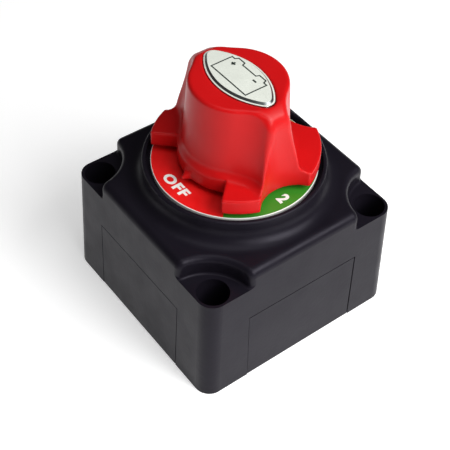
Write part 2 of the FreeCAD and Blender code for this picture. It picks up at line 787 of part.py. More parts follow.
def make_moving_contact():
    body = new_body("moving_contact")
    round_bar(body, "Additive", "ArmDisc", "arm_disc_radius", "arm_thick", level="arm_bottom")
    outline = new_sketch(body, "ArmOutline", level="arm_bottom")
    closed_outline(outline, arm_corners("arm_half", "arm_reach"))
    pad(body, "ArmBar", outline, "arm_thick")
    return body


def make_coil(name, coil, wire, pitch, height):
    """Round-wire spring wound up its own Z axis from the origin."""
    body = new_body(name)
    section = new_sketch(body, "Wire_" + name, "XZ_Plane")
    section.addGeometry(Part.Circle(FreeCAD.Vector(size(coil), 0, 0), UP, size(wire)))
    hold(section, coil, "DistanceX", -1, 1, 0, 3)
    section.addConstraint(Sketcher.Constraint("PointOnObject", 0, 3, -1))
    hold(section, wire, "Radius", 0)
    winding = body.newObject("PartDesign::AdditiveHelix", "Winding_" + name)
    winding.Profile = section
    winding.ReferenceAxis = (section, ["V_Axis"])
    winding.Mode = "pitch-height-angle"
    bind(winding, "Pitch", pitch)
    bind(winding, "Height", height)
    return body


def make_contact_spring():
    spring = make_coil("contact_spring", "contact_coil_radius", "contact_wire_radius",
                       "contact_coil_pitch", "contact_coil_height")
    bind(spring, "Placement.Base.z", "contact_coil_bottom")
    return spring


def make_detents():
    balls = []
    springs = []
    for side, sign in (("right", 1), ("left", -1)):
        ball = doc.addObject("Part::Sphere", "Ball_" + side)
        bind(ball, "Radius", "ball_radius")
        turn(ball, 0, sign * DIMS["ball_circle"], 0, DIMS["ball_level"])
        balls.append(ball)
        spring = make_coil("DetentSpring_" + side, "detent_coil_radius", "detent_wire_radius",
                           "detent_coil_pitch", "detent_coil_height")
        spring.Placement = FreeCAD.Placement(
            FreeCAD.Vector(sign * DIMS["detent_coil_start"], 0, DIMS["ball_level"]),
            FreeCAD.Rotation(FreeCAD.Vector(0, 1, 0), sign * 90))
        springs.append(spring)
    return [group("detent_balls", balls), group("detent_springs", springs)]


def make_shaft_seal():
    seal = doc.addObject("Part::Torus", "shaft_seal")
    seal.Label = "shaft_seal"
    bind(seal, "Radius1", "seal_ring_radius")
    bind(seal, "Radius2", "seal_section")
    bind(seal, "Placement.Base.z", "seal_level")
    return seal


# ---------------------------------------------------------------- knob
def almond(sketch, half_length, radius):
    """Pointed oval along X made of two equal arcs."""
    far = "-" + half_length
    closed_outline(sketch, [(far, "zero", radius, 1), (half_length, "zero", radius, 1)])


def make_knob():
    body = new_body("knob")
    profile = new_sketch(body, "KnobProfile", "XZ_Plane")
    closed_outline(profile, [
        ("zero", "knob_bottom"), ("skirt_radius", "knob_bottom"), ("skirt_radius", "skirt_top"),
        ("cone_foot_radius", "skirt_top"), ("cone_top_radius", "knob_top"), ("zero", "knob_top")])
    revolve(body, "KnobTurned", profile)

    fins = new_sketch(body, "FinProfile", "YZ_Plane")
    closed_outline(fins, [
        ("-fin_foot_half", "knob_bottom"), ("fin_foot_half", "knob_bottom"),
        ("fin_foot_half", "skirt_top"), ("fin_top_half", "knob_top"),
        ("-fin_top_half", "knob_top"), ("-fin_foot_half", "skirt_top")])
    fins = pad(body, "Fins", fins, "fin_length", symmetric=True)
    roots = fillet(body, "FinBlends", fins, "fin_blend", is_fin_root)
    foot = fillet(body, "FootBlend", roots, "foot_round", is_foot)

    for name, across, along in (("right", "scoop_circle", "zero"), ("left", "-scoop_circle", "zero"),
                                ("back", "zero", "scoop_circle")):
        round_bar(body, "Subtractive", "Scoop_" + name, "scoop_radius", "knob_top", across, along)
    window = new_sketch(body, "WindowOutline")
    closed_outline(window, [
        ("-window_inner_x", "-window_inner_y", "window_radius", 1),
        ("window_inner_x", "-window_inner_y"), ("window_outer_x", "-window_outer_y"),
        ("window_outer_x", "-window_clear"), ("-window_outer_x", "-window_clear"),
        ("-window_outer_x", "-window_outer_y")])
    window = pocket(body, "OffWindow", window, "knob_top", upward=True)
    ends = fillet(body, "FinEndRound", window, "fin_end_round", is_fin_end)
    fillet(body, "CrownRound", ends, "crown_round",
           lambda edge: lies_at(edge, DIMS["knob_top"]))

    pointer = new_sketch(body, "PointerOutline", level="knob_bottom")
    closed_outline(pointer, [("-pointer_half", "-pointer_root"), ("zero", "-pointer_tip"),
                             ("pointer_half", "-pointer_root")])
    pad(body, "Pointer", pointer, "pointer_height")
    recess = new_sketch(body, "BadgeRecessOutline", level="badge_floor")
    almond(recess, "badge_recess_half_length", "badge_recess_arc")
    pocket(body, "BadgeRecess", recess, "badge_depth", upward=True)
    core = new_sketch(body, "CoreProfile", "XZ_Plane")
    closed_outline(core, [("core_inner", "knob_bottom"), ("core_outer", "knob_bottom"),
                          ("core_outer", "core_top"), ("core_inner", "core_top")])
    groove(body, "MouldingCore", core)
    square_bar(body, "Subtractive", "TangSocket", ("socket_width", "socket_width", "socket_height"),
               "-socket_half", "-socket_half", "knob_bottom")
    round_bar(body, "Subtractive", "ScrewBore", "screw_bore", "knob_top", level="knob_bottom")
    round_bar(body, "Subtractive", "ScrewHeadBore", "head_bore_radius", "knob_top",
              level="screw_seat")
    return body


def is_fin_root(edge):
    """The four upright edges where a fin's side meets the cone."""
    low, high = level_span(edge)
    reaches_top = high > DIMS["knob_top"] - NEAR and high - low > DIMS["fin_blend"]
    return reaches_top and edge_middle_radius(edge) < DIMS["cone_foot_radius"] + NEAR


def is_foot(edge):
    """The line round the cone and the fins where they stand on the skirt."""
    return lies_at(edge, DIMS["skirt_top"]) and edge_middle_radius(edge) < DIMS["skirt_radius"] - NEAR


def is_fin_end(edge):
    """The short top edge where a scoop cuts off a fin."""
    return (lies_at(edge, DIMS["knob_top"])
            and edge_middle_radius(edge) > DIMS["scoop_circle"] - DIMS["scoop_radius"] - NEAR)


def make_badge():
    """Bright almond plate bearing a plain battery sign."""
    body = new_body("knob_badge")
    outline = new_sketch(body, "BadgeOutline", level="badge_floor")
    almond(outline, "badge_half_length", "badge_arc")
    pad(body, "BadgePlate", outline, "badge_thick")
    return body


def make_knob_screw():
    shank = cylinder("KnobScrewShank", "knob_screw_radius", "knob_screw_length", "knob_screw_end")
    head = cylinder("KnobScrewHead", "knob_head_radius", "knob_head_height", "screw_seat")
    screw = fuse("knob_screw", [shank, head])
    screw.Label = "knob_screw"
    return screw


# ---------------------------------------------------------------- build, check and write
def main():
    nodes = [make_housing()]
    nodes += [make_panel(side, angle) for side, angle in SIDES]
    nodes += [make_dial_plate(), make_back_plate(), make_plate_screws()]
    nodes += [make_quarter_contact("1"), make_quarter_contact("2"), make_common_contact()]
    nodes += [make_stud(name) for name in TERMINALS]
    nodes += make_terminal_hardware()
    nodes += [make_rotor(), make_moving_contact(), make_contact_spring()]
    nodes += make_detents()
    nodes += [make_shaft_seal(), make_knob(), make_badge(), make_knob_screw()]
    doc.recompute()
    for item in doc.Objects:
        if "Invalid" in item.State or "Error" in item.State:
            raise RuntimeError("%s failed: %s" % (item.Name, item.State))
    for node in nodes:
        if node.Shape.isNull() or not node.Shape.isValid():
            raise RuntimeError("bad shape: " + node.Label)
    os.makedirs("parts", exist_ok=True)
    for node in nodes:
        node.Shape.exportStep("parts/%s.step" % node.Label)
        print("%-24s %9.1f mm3  %d solids" % (node.Label, node.Shape.Volume, len(node.Shape.Solids)))


main()
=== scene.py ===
"""Looks of the rotary battery selector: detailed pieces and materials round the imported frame.

The frame is in metres. Sizes below are in millimetres unless a name says otherwise, and are turned
to metres where a mesh is made. Z runs up the spindle, -Y points at OFF and +X at position 2.
"""

import math

import bmesh
import bpy
import numpy as np
from mathutils import Matrix, Vector


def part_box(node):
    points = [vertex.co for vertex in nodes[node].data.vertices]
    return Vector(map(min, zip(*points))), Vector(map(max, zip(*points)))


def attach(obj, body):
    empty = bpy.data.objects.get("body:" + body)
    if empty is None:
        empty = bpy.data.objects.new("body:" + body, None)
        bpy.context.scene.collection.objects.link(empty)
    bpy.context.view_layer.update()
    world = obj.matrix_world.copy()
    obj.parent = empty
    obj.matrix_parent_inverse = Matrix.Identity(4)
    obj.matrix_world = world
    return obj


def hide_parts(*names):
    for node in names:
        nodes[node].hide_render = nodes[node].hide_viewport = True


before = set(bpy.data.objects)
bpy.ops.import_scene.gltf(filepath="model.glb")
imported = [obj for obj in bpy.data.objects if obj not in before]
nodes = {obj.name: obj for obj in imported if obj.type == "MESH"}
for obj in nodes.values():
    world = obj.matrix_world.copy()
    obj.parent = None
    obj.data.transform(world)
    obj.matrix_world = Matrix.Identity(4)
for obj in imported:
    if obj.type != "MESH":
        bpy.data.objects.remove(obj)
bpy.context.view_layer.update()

MM = 0.001


# ---------------------------------------------------------------- helpers for meshes
def add_mesh(name, verts, faces, body, material=None, smooth=True, sharp=None):
    """Make an object from points in millimetres and let it ride on a body."""
    mesh = bpy.data.meshes.new(name)
    mesh.from_pydata([tuple(c * MM for c in v) for v in verts], [], faces)
    mesh.update()
    obj = bpy.data.objects.new(name, mesh)
    bpy.context.scene.collection.objects.link(obj)
    if material:
        mesh.materials.append(material)
    if smooth:
        mesh.shade_smooth()
    if sharp:
        mesh.set_sharp_from_angle(angle=math.radians(sharp))
    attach(obj, body)
    return obj


def surface_net(field, low, high, step):
    """Quads round the zero level of a signed field; the corners are then pulled onto it exactly."""
    axes = [np.arange(a, b + step, step) for a, b in zip(low, high)]
    grid = np.meshgrid(*axes, indexing="ij")
    values = field(*grid)
    inside = values < 0
    shape = tuple(n - 1 for n in values.shape)
    total = np.zeros(shape + (3,))
    count = np.zeros(shape)
    corners = [(i, j, k) for i in (0, 1) for j in (0, 1) for k in (0, 1)]

    def corner(array, c):
        return array[c[0]:c[0] + shape[0], c[1]:c[1] + shape[1], c[2]:c[2] + shape[2]]

    for a in corners:
        for axis in range(3):
            if a[axis]:
                continue
            b = tuple(1 if n == axis else a[n] for n in range(3))
            va, vb = corner(values, a), corner(values, b)
            crossing = corner(inside, a) != corner(inside, b)
            t = np.where(crossing, va / np.where(crossing, va - vb, 1.0), 0.0)
            point = np.empty(shape + (3,))
            for n in range(3):
                point[..., n] = a[n] + (t if n == axis else 0.0)
            total += np.where(crossing[..., None], point, 0.0)
            count += crossing
    active = count > 0
    index = -np.ones(shape, int)
    index[active] = np.arange(active.sum())
    cells = np.argwhere(active)
    points = np.array(low) + (cells + total[active] / count[active][:, None]) * step

    quads = []
    for axis in range(3):
        u, v = (axis + 1) % 3, (axis + 2) % 3
        first = [slice(None)] * 3
        second = [slice(None)] * 3
        first[axis] = slice(0, -1)
        second[axis] = slice(1, None)
        start, end = inside[tuple(first)], inside[tuple(second)]
        where = np.argwhere(start != end)
        where = where[(where[:, u] > 0) & (where[:, v] > 0)]
        where = where[(where[:, u] < shape[u]) & (where[:, v] < shape[v])]
        ring = []
        for du, dv in ((1, 1), (0, 1), (0, 0), (1, 0)):
            cell = where.copy()
            cell[:, u] -= du
            cell[:, v] -= dv
            ring.append(index[tuple(cell.T)])
        ring = np.stack(ring, axis=1)
        outward = start[tuple(where.T)]
        ring[~outward] = ring[~outward][:, ::-1]
        quads.append(ring)
    quads = np.concatenate(quads)

    for _ in range(3):
        value = field(*points.T)
        nudge = 0.02
        slope = np.empty_like(points)
        for n in range(3):
            moved = points.copy()
            moved[:, n] += nudge
            slope[:, n] = (field(*moved.T) - value) / nudge
        length2 = np.maximum((slope ** 2).sum(axis=1), 0.25)
        move = -value[:, None] * slope / length2[:, None]
        move = np.clip(move, -step * 0.5, step * 0.5)
        points = points + move
    return points, quads


# ---------------------------------------------------------------- materials
def new_material(name):
    material = bpy.data.materials.new(name)
    material.use_nodes = True
    tree = material.node_tree
    return material, tree, tree.nodes["Principled BSDF"]


def object_noise(tree, scale, detail=3.0, rough=0.5):
    """Noise that stays with the object; scale counts bumps per metre."""
    coords = tree.nodes.new("ShaderNodeTexCoord")
    noise = tree.nodes.new("ShaderNodeTexNoise")
    noise.inputs["Scale"].default_value = scale
    noise.inputs["Detail"].default_value = detail
    noise.inputs["Roughness"].default_value = rough
    tree.links.new(coords.outputs["Object"], noise.inputs["Vector"])
    return noise.outputs["Fac"]


def spread(tree, source, low, high, start=0.3, end=0.7):
    """Map a noise to a range of values."""
    node = tree.nodes.new("ShaderNodeMapRange")
    node.inputs["From Min"].default_value = start
    node.inputs["From Max"].default_value = end
    node.inputs["To Min"].default_value = low
    node.inputs["To Max"].default_value = high
    tree.links.new(source, node.inputs["Value"])
    return node.outputs["Result"]


def tint(tree, source, first, second, start=0.3, end=0.7):
    ramp = tree.nodes.new("ShaderNodeValToRGB")
    ramp.color_ramp.elements[0].position = start
    ramp.color_ramp.elements[0].color = (*first, 1)
    ramp.color_ramp.elements[1].position = end
    ramp.color_ramp.elements[1].color = (*second, 1)
    tree.links.new(source, ramp.inputs["Fac"])
    return ramp.outputs["Color"]


def add_bump(tree, shader, source, depth, strength=1.0):
    bump = tree.nodes.new("ShaderNodeBump")
    bump.inputs["Strength"].default_value = strength
    bump.inputs["Distance"].default_value = depth * MM
    tree.links.new(source, bump.inputs["Height"])
    tree.links.new(bump.outputs["Normal"], shader.inputs["Normal"])
    return bump


def moulded_plastic(name, dark, light, rough, grain=900.0, depth=0.02, specular=0.5, sheen=(1, 1, 1)):
    """Moulded plastic: faint cloudiness, uneven gloss and a fine spark-eroded grain."""
    material, tree, shader = new_material(name)
    cloud = object_noise(tree, 45.0)
    tree.links.new(tint(tree, cloud, dark, light), shader.inputs["Base Color"])
    gloss = object_noise(tree, 160.0)
    tree.links.new(spread(tree, gloss, rough - 0.04, rough + 0.05), shader.inputs["Roughness"])
    shader.inputs["Specular IOR Level"].default_value = specular
    shader.inputs["Specular Tint"].default_value = (*sheen, 1)
    add_bump(tree, shader, object_noise(tree, grain, 2.0), depth)
    return material


def metal(name, dark, light, rough, grain=700.0, depth=0.01):
    material, tree, shader = new_material(name)
    shader.inputs["Metallic"].default_value = 1.0
    tree.links.new(tint(tree, object_noise(tree, 120.0), dark, light), shader.inputs["Base Color"])
    tree.links.new(spread(tree, object_noise(tree, 260.0), rough - 0.05, rough + 0.07),
                   shader.inputs["Roughness"])
    add_bump(tree, shader, object_noise(tree, grain, 3.0), depth)
    return material


def ink(name, color, rough=0.4):
    """Screen-printed ink: slightly uneven tone and gloss."""
    material, tree, shader = new_material(name)
    paler = tuple(min(c * 1.08 + 0.004, 1) for c in color)
    tree.links.new(tint(tree, object_noise(tree, 220.0), color, paler), shader.inputs["Base Color"])
    tree.links.new(spread(tree, object_noise(tree, 500.0), rough - 0.05, rough + 0.05),
                   shader.inputs["Roughness"])
    add_bump(tree, shader, object_noise(tree, 2500.0, 2.0), 0.004)
    return material


BLACK = moulded_plastic("satin_black_plastic", (0.0068, 0.0056, 0.0092), (0.0092, 0.0078, 0.0122), 0.36,
                        specular=0.12, sheen=(0.89, 0.85, 1.0))
RED = moulded_plastic("red_plastic", (0.50, 0.004, 0.005), (0.57, 0.006, 0.007), 0.33, depth=0.01,
                      specular=0.2)
CHROME = metal("bright_badge_metal", (0.62, 0.64, 0.62), (0.72, 0.74, 0.72), 0.16, depth=0.004)
# Badge bevel metal, darkened all round: a painted dark reflection standing in for the dark surround the
# bevel mirrors.
BEVEL_PAINTED_DARK_REFLECTION = metal("badge_bevel_painted_dark_reflection", (0.20, 0.22, 0.22), (0.30, 0.32, 0.31), 0.38, depth=0.004)
# Silver print of the badge's face, also laid on the rim's flat top as a painted bright reflection.
SILVER_PRINT_AND_PAINTED_REFLECTION = ink("silver_badge_print_and_painted_reflection", (0.70, 0.73, 0.66), 0.28)
INK = ink("badge_ink", (0.02, 0.03, 0.025))
DIAL_RED = ink("dial_red_ink", (0.72, 0.004, 0.004))
DIAL_GREEN = ink("dial_green_ink", (0.03, 0.22, 0.012))
DIAL_WHITE = ink("dial_white_ink", (0.80, 0.82, 0.78))
INSULATOR = moulded_plastic("insulator_plastic", (0.03, 0.03, 0.032), (0.038, 0.038, 0.04), 0.5)
ROTOR = moulded_plastic("rotor_plastic", (0.05, 0.05, 0.053), (0.06, 0.06, 0.063), 0.5)
COPPER = metal("copper", (0.80, 0.36, 0.22), (0.88, 0.44, 0.28), 0.3)
TINNED = metal("tinned_stud", (0.60, 0.57, 0.50), (0.70, 0.67, 0.60), 0.32)
ZINC = metal("zinc_plate", (0.55, 0.56, 0.56), (0.66, 0.67, 0.68), 0.34)
STEEL = metal("screw_steel", (0.48, 0.48, 0.49), (0.58, 0.58, 0.60), 0.32)
WIRE = metal("spring_wire", (0.40, 0.40, 0.42), (0.5, 0.5, 0.52), 0.28)
RUBBER = moulded_plastic("seal_rubber", (0.012, 0.012, 0.012), (0.02, 0.02, 0.02), 0.7)

NODE_MATERIALS = {
    "housing": BLACK, "side_panel_front": BLACK, "side_panel_right": BLACK, "side_panel_back": BLACK,
    "side_panel_left": BLACK, "dial_plate": DIAL_GREEN, "knob": RED, "knob_badge": CHROME,
    "back_plate": INSULATOR, "back_plate_screws": STEEL, "contact_plate_1": COPPER,
    "contact_plate_2": COPPER, "contact_plate_common": COPPER, "moving_contact": COPPER,
    "terminal_stud_1": TINNED, "terminal_stud_2": TINNED, "terminal_stud_common": TINNED,
    "jam_nuts": ZINC, "flat_washers": ZINC, "lock_washers": ZINC, "terminal_nuts": ZINC,
    "rotor": ROTOR, "contact_spring": WIRE, "detent_balls": STEEL, "detent_springs": WIRE,
    "shaft_seal": RUBBER, "knob_screw": STEEL,
}
for node, material in NODE_MATERIALS.items():
    slots = nodes[node].data.materials
    slots.clear()
    slots.append(material)


# ---------------------------------------------------------------- signed fields, in millimetres
def join(a, b, radius):
    """Union with a hollow round of that radius in the corner."""
    u = np.maximum(radius - a, 0)
    v = np.maximum(radius - b, 0)
    return np.maximum(radius, np.minimum(a, b)) - np.hypot(u, v)


def keep_both(a, b, radius):
    """Intersection with its edge rounded to that radius."""
    u = np.maximum(radius + a, 0)
    v = np.maximum(radius + b, 0)
    return np.minimum(-radius, np.maximum(a, b)) + np.hypot(u, v)


def take_away(a, b, radius):
    return keep_both(a, -b, radius)


# ---------------------------------------------------------------- knob
KNOB_LOW, KNOB_HIGH = (Vector(corner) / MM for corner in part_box("knob"))
KNOB_BOTTOM, KNOB_TOP = KNOB_LOW.z, KNOB_HIGH.z
SKIRT_RADIUS = 24.0
SKIRT_TOP = KNOB_BOTTOM + 4.7
CONE_FOOT, CONE_TOP = 15.1, 13.6
FIN_FOOT, FIN_TOP = 6.7, 3.0
FIN_BLEND = 5.0
FOOT_ROUND = 2.6
SCOOP_RADIUS, SCOOP_CENTRE = 10.7, 28.9
WINDOW_RADIUS = 16.3
WINDOW_HALF_ANGLE = math.radians(43.6)
EDGE_ROUND = 0.45
FIN_END_ROUND = 2.0        # at the top, growing from the edge round at the skirt
END_ROUND_FROM, END_ROUND_TO = SKIRT_TOP + 2, KNOB_TOP - 6
WINDOW_ROUND = 1.1         # deep in a window, growing from the edge round at its sides
WINDOW_ROUND_FROM, WINDOW_ROUND_TO = 0.5, 5
FIN_END_START = 15.1       # where the fins' tops begin to fall away
FIN_END_SLOPE = math.radians(46)
FIN_FALL_ROUND = 1.6
CROWN_ROUND, CROWN_EXTRA = 1.0, 0.8        # the extra is added over the fins
CROWN_EXTRA_FROM, CROWN_EXTRA_TO = 12, 16
KNOB_STEP = 0.4
POINTER_TIP, POINTER_ROOT = 18.6, 15.5
POINTER_TOP = KNOB_BOTTOM + 3.0
POINTER_FALL = 0.7         # drop of its top per unit of reach
POINTER_BLEND = 0.3
BADGE_HALF_LENGTH, BADGE_HALF_WIDTH = 14.9, 6.9
BADGE_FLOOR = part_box("knob_badge")[0].z / MM
BADGE_GAP = 0.15
BADGE_TIP = 2.8


def almond(x, y, grow):
    """Distance to a pointed oval along X with rounded tips."""
    radius = (BADGE_HALF_LENGTH ** 2 + BADGE_HALF_WIDTH ** 2) / (2 * BADGE_HALF_WIDTH)
    rise = radius - BADGE_HALF_WIDTH
    reach = math.sqrt((radius - BADGE_TIP) ** 2 - rise ** 2)
    x, y = np.abs(x), np.abs(y)
    on_arc = np.hypot(x, y + rise) - radius
    at_tip = np.hypot(x - reach, y) - BADGE_TIP
    beyond = x * rise - (y + rise) * reach > 0
    return np.where(beyond, at_tip, on_arc) - grow


def ease(value, start, end):
    """Smooth rise from 0 at start to 1 at end."""
    t = np.clip((value - start) / (end - start), 0, 1)
    return t * t * (3 - 2 * t)


def pointer_field(x, y, z):
    """Small wedge at the foot of the grip that points at the chosen mark."""
    reach = -y
    flanks = (np.abs(x) - 0.5 * (POINTER_TIP - reach)) * 0.9
    top = (z - POINTER_TOP + POINTER_FALL * (reach - POINTER_ROOT)) * 0.82
    return np.maximum(np.maximum(flanks, top), POINTER_ROOT - 2 - reach)


def knob_field(x, y, z):
    r = np.hypot(x, y)
    up = (z - SKIRT_TOP) / (KNOB_TOP - SKIRT_TOP)
    cone = r - (CONE_FOOT + (CONE_TOP - CONE_FOOT) * up)
    fins = np.abs(y) - (FIN_FOOT + (FIN_TOP - FIN_FOOT) * up)
    grip = join(cone, fins, FIN_BLEND)
    skirt = z - SKIRT_TOP
    body = join(grip, skirt, FOOT_ROUND)
    body = keep_both(body, r - SKIRT_RADIUS, EDGE_ROUND)
    scoop_round = EDGE_ROUND + (FIN_END_ROUND - EDGE_ROUND) * ease(z, END_ROUND_FROM, END_ROUND_TO)
    for cx, cy in ((SCOOP_CENTRE, 0), (-SCOOP_CENTRE, 0), (0, SCOOP_CENTRE)):
        body = take_away(body, np.hypot(x - cx, y - cy) - SCOOP_RADIUS, scoop_round)
    side = np.abs(x) * math.cos(WINDOW_HALF_ANGLE) + y * math.sin(WINDOW_HALF_ANGLE)
    window = keep_both(WINDOW_RADIUS - r, side, EDGE_ROUND)
    inside = ease(-side, WINDOW_ROUND_FROM, WINDOW_ROUND_TO)
    window_round = EDGE_ROUND + (WINDOW_ROUND - EDGE_ROUND) * inside
    body = take_away(body, window, window_round)
    out, up_from_top = np.abs(x) - FIN_END_START, z - KNOB_TOP
    fall = out * math.sin(FIN_END_SLOPE) + up_from_top * math.cos(FIN_END_SLOPE)
    body = keep_both(body, fall, FIN_FALL_ROUND)
    crown = CROWN_ROUND + CROWN_EXTRA * ease(np.abs(x), CROWN_EXTRA_FROM, CROWN_EXTRA_TO)
    body = keep_both(body, up_from_top, crown)
    body = join(body, pointer_field(x, y, z), POINTER_BLEND)
    recess = np.maximum(almond(x, y, BADGE_GAP), BADGE_FLOOR - z)
    body = take_away(body, recess, 0.2)
    return np.maximum(body, KNOB_BOTTOM - z)


def make_knob():
    low = (-SKIRT_RADIUS - 1, -SKIRT_RADIUS - 1, KNOB_BOTTOM - 1)
    high = (SKIRT_RADIUS + 1, SKIRT_RADIUS + 1, KNOB_TOP + 1)
    points, quads = surface_net(knob_field, low, high, KNOB_STEP)
    knob = add_mesh("knob_shell", points, quads.tolist(), "selector", material=RED)
    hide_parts("knob")


# ---------------------------------------------------------------- badge
BADGE_EDGE = KNOB_TOP + 0.12
BADGE_RISE = 0.2           # of the dome, above the top of the bevel
BEVEL_RISE = 0.5
FACE_INSET = 1.0
FACE_RINGS = (1.0, 0.985, 0.95, 0.88, 0.78, 0.66, 0.53, 0.4, 0.26, 0.13)
ARC_STEPS, TIP_STEPS = 48, 12
EDGE_INK, SILVER_PRINT_AND_REFLECTION_SLOT, BEVEL_PAINTED_REFLECTION_SLOT = 0, 1, 2        # the badge's material slots
RIM_PAINTED_REFLECTION_ROW = 2           # from this row of the rim on, it has the face's silver: a painted bright reflection in place of the chrome's mirror of a bright surround
INK_LIFT = 0.025
BADGE_SHARP, HARDWARE_SHARP = 25, 35           # degrees from which an edge is shaded sharp


def almond_ring(inset):
    """Points round the badge's outline, moved in by inset, anticlockwise from the +X tip."""
    radius = (BADGE_HALF_LENGTH ** 2 + BADGE_HALF_WIDTH ** 2) / (2 * BADGE_HALF_WIDTH)
    rise = radius - BADGE_HALF_WIDTH
    reach = math.sqrt((radius - BADGE_TIP) ** 2 - rise ** 2)
    turn = math.atan2(rise, reach)
    points = []

    def arc(cx, cy, size, start, end, steps):
        for n in range(steps):
            a = start + (end - start) * n / steps
            points.append((cx + size * math.cos(a), cy + size * math.sin(a)))

    tip = BADGE_TIP - inset
    arc(reach, 0, tip, -turn, turn, TIP_STEPS)
    arc(0, -rise, radius - inset, turn, math.pi - turn, ARC_STEPS)
    arc(-reach, 0, tip, math.pi - turn, math.pi + turn, TIP_STEPS)
    arc(0, rise, radius - inset, math.pi + turn, 2 * math.pi - turn, ARC_STEPS)
    return points


def badge_height(x, y):
    """Height of the gently domed face."""
    along, across = x / BADGE_HALF_LENGTH, y / BADGE_HALF_WIDTH
    return BADGE_EDGE + BEVEL_RISE + BADGE_RISE * (1 - along ** 2) * (1 - across ** 2)


def make_badge():
    """Bright rim whose top carries the face's silver as a painted bright reflection, and a bevel in metal
    darkened all round as a painted dark reflection, round a domed silver face, as one closed shell.
    """
    rim = [(0.0, BADGE_FLOOR), (0.0, BADGE_EDGE - 0.15), (0.06, BADGE_EDGE - 0.04), (0.15, BADGE_EDGE),
           (0.4, BADGE_EDGE), (0.46, BADGE_EDGE + 0.02)]
    verts, rings = [], []
    for inset, z in rim:
        ring = almond_ring(inset)
        rings.append(range(len(verts), len(verts) + len(ring)))
        verts += [(x, y, z) for x, y in ring]
    face_start = len(rings)
    inner = almond_ring(FACE_INSET)
    for shrink in FACE_RINGS:
        rings.append(range(len(verts), len(verts) + len(inner)))
        verts += [(x * shrink, y * shrink, badge_height(x * shrink, y * shrink)) for x, y in inner]
    faces = [tuple(reversed(rings[0]))]
    inks = [EDGE_INK]
    for number, (low, high) in enumerate(zip(rings, rings[1:])):
        count = len(low)
        for n in range(count):
            m = (n + 1) % count
            faces.append((low[n], low[m], high[m], high[n]))
            # The bevel row takes the darkened metal (painted dark reflection); the rim's top rows take
            # the face's silver (painted bright reflection).
            if number == face_start - 1:
                inks.append(BEVEL_PAINTED_REFLECTION_SLOT)
            else:
                inks.append(SILVER_PRINT_AND_REFLECTION_SLOT if number >= RIM_PAINTED_REFLECTION_ROW else EDGE_INK)
    verts.append((0, 0, badge_height(0, 0)))
    last = rings[-1]
    for n in range(len(last)):
        faces.append((last[n], last[(n + 1) % len(last)], len(verts) - 1))
        inks.append(SILVER_PRINT_AND_REFLECTION_SLOT)
    badge = add_mesh("badge_plate", verts, faces, "selector", material=CHROME,
                     sharp=BADGE_SHARP)
    badge.data.materials.append(SILVER_PRINT_AND_PAINTED_REFLECTION)
    badge.data.materials.append(BEVEL_PAINTED_DARK_REFLECTION)
    badge.data.polygons.foreach_set("material_index", inks)
    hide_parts("knob_badge")


def ribbon(points, width, closed=False):
    """Flat strip of even width along a line of points in the plane, with mitred corners."""
    count = len(points)
    left, right = [], []
    for n, point in enumerate(points):
        here = Vector(point)
        before = Vector(points[n - 1]) if closed or n else None
        after = Vector(points[(n + 1) % count]) if closed or n < count - 1 else None
        first = (here - before).normalized() if before else (after - here).normalized()
        second = (after - here).normalized() if after else first
        normal = Vector((-first.y - second.y, first.x + second.x)).normalized()
        stretch = 1 / max(normal.dot(Vector((-first.y, first.x))), 0.5)
        left.append(here + normal * width / 2 * stretch)
        right.append(here - normal * width / 2 * stretch)
    quads = []
    for n in range(count if closed else count - 1):
        m = (n + 1) % count
        quads.append((left[n], right[n], right[m], left[m]))
    return quads


def battery_sign():
    """Outline of a car battery with two posts and its two signs, in the badge's plane."""
    half, foot, lid, post = 7.4, -3.5, 3.5, 4.5
    line, arm, sign_level = 0.4, 0.7, 1.9
    outline = [(-half, foot), (half, foot), (half, lid), (6.2, lid), (5.8, post), (3.2, post), (2.8, lid),
               (-2.8, lid), (-3.2, post), (-5.8, post), (-6.2, lid), (-half, lid)]
    strips = ribbon(outline, line, closed=True)
    strips += ribbon([(-4.8 - arm, sign_level), (-4.8 + arm, sign_level)], line * 1.4)
    strips += ribbon([(-4.8, sign_level - arm), (-4.8, sign_level + arm)], line * 1.4)
    strips += ribbon([(4.3 - arm, sign_level), (4.3 + arm, sign_level)], line * 1.4)
    return strips


def make_battery_sign():
    """The sign as thin ink lying on the domed face."""
    flat = bmesh.new()
    for quad in battery_sign():
        flat.faces.new([flat.verts.new((p.x, p.y, 0)) for p in quad])
    bmesh.ops.subdivide_edges(flat, edges=flat.edges, cuts=5, use_grid_fill=True)
    verts = []
    for v in flat.verts:
        verts.append((v.co.x, v.co.y, badge_height(v.co.x, v.co.y) + INK_LIFT))
    flat.verts.index_update()
    faces = [[v.index for v in f.verts] for f in flat.faces]
    flat.free()
    add_mesh("badge_sign", verts, faces, "selector", material=INK, smooth=False)


# ---------------------------------------------------------------- dial
DIAL_LOW, DIAL_HIGH = (Vector(corner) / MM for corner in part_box("dial_plate"))
DIAL_RADIUS = DIAL_HIGH.x
DIAL_TOP, DIAL_FLOOR = DIAL_HIGH.z, DIAL_LOW.z
DIAL_HOLE = 8.0
BORDER_WIDTH = 0.2
RED_START, RED_END = 218, 315      # the red sector, from the left round to OFF and beyond
DIAL_STEPS = 360


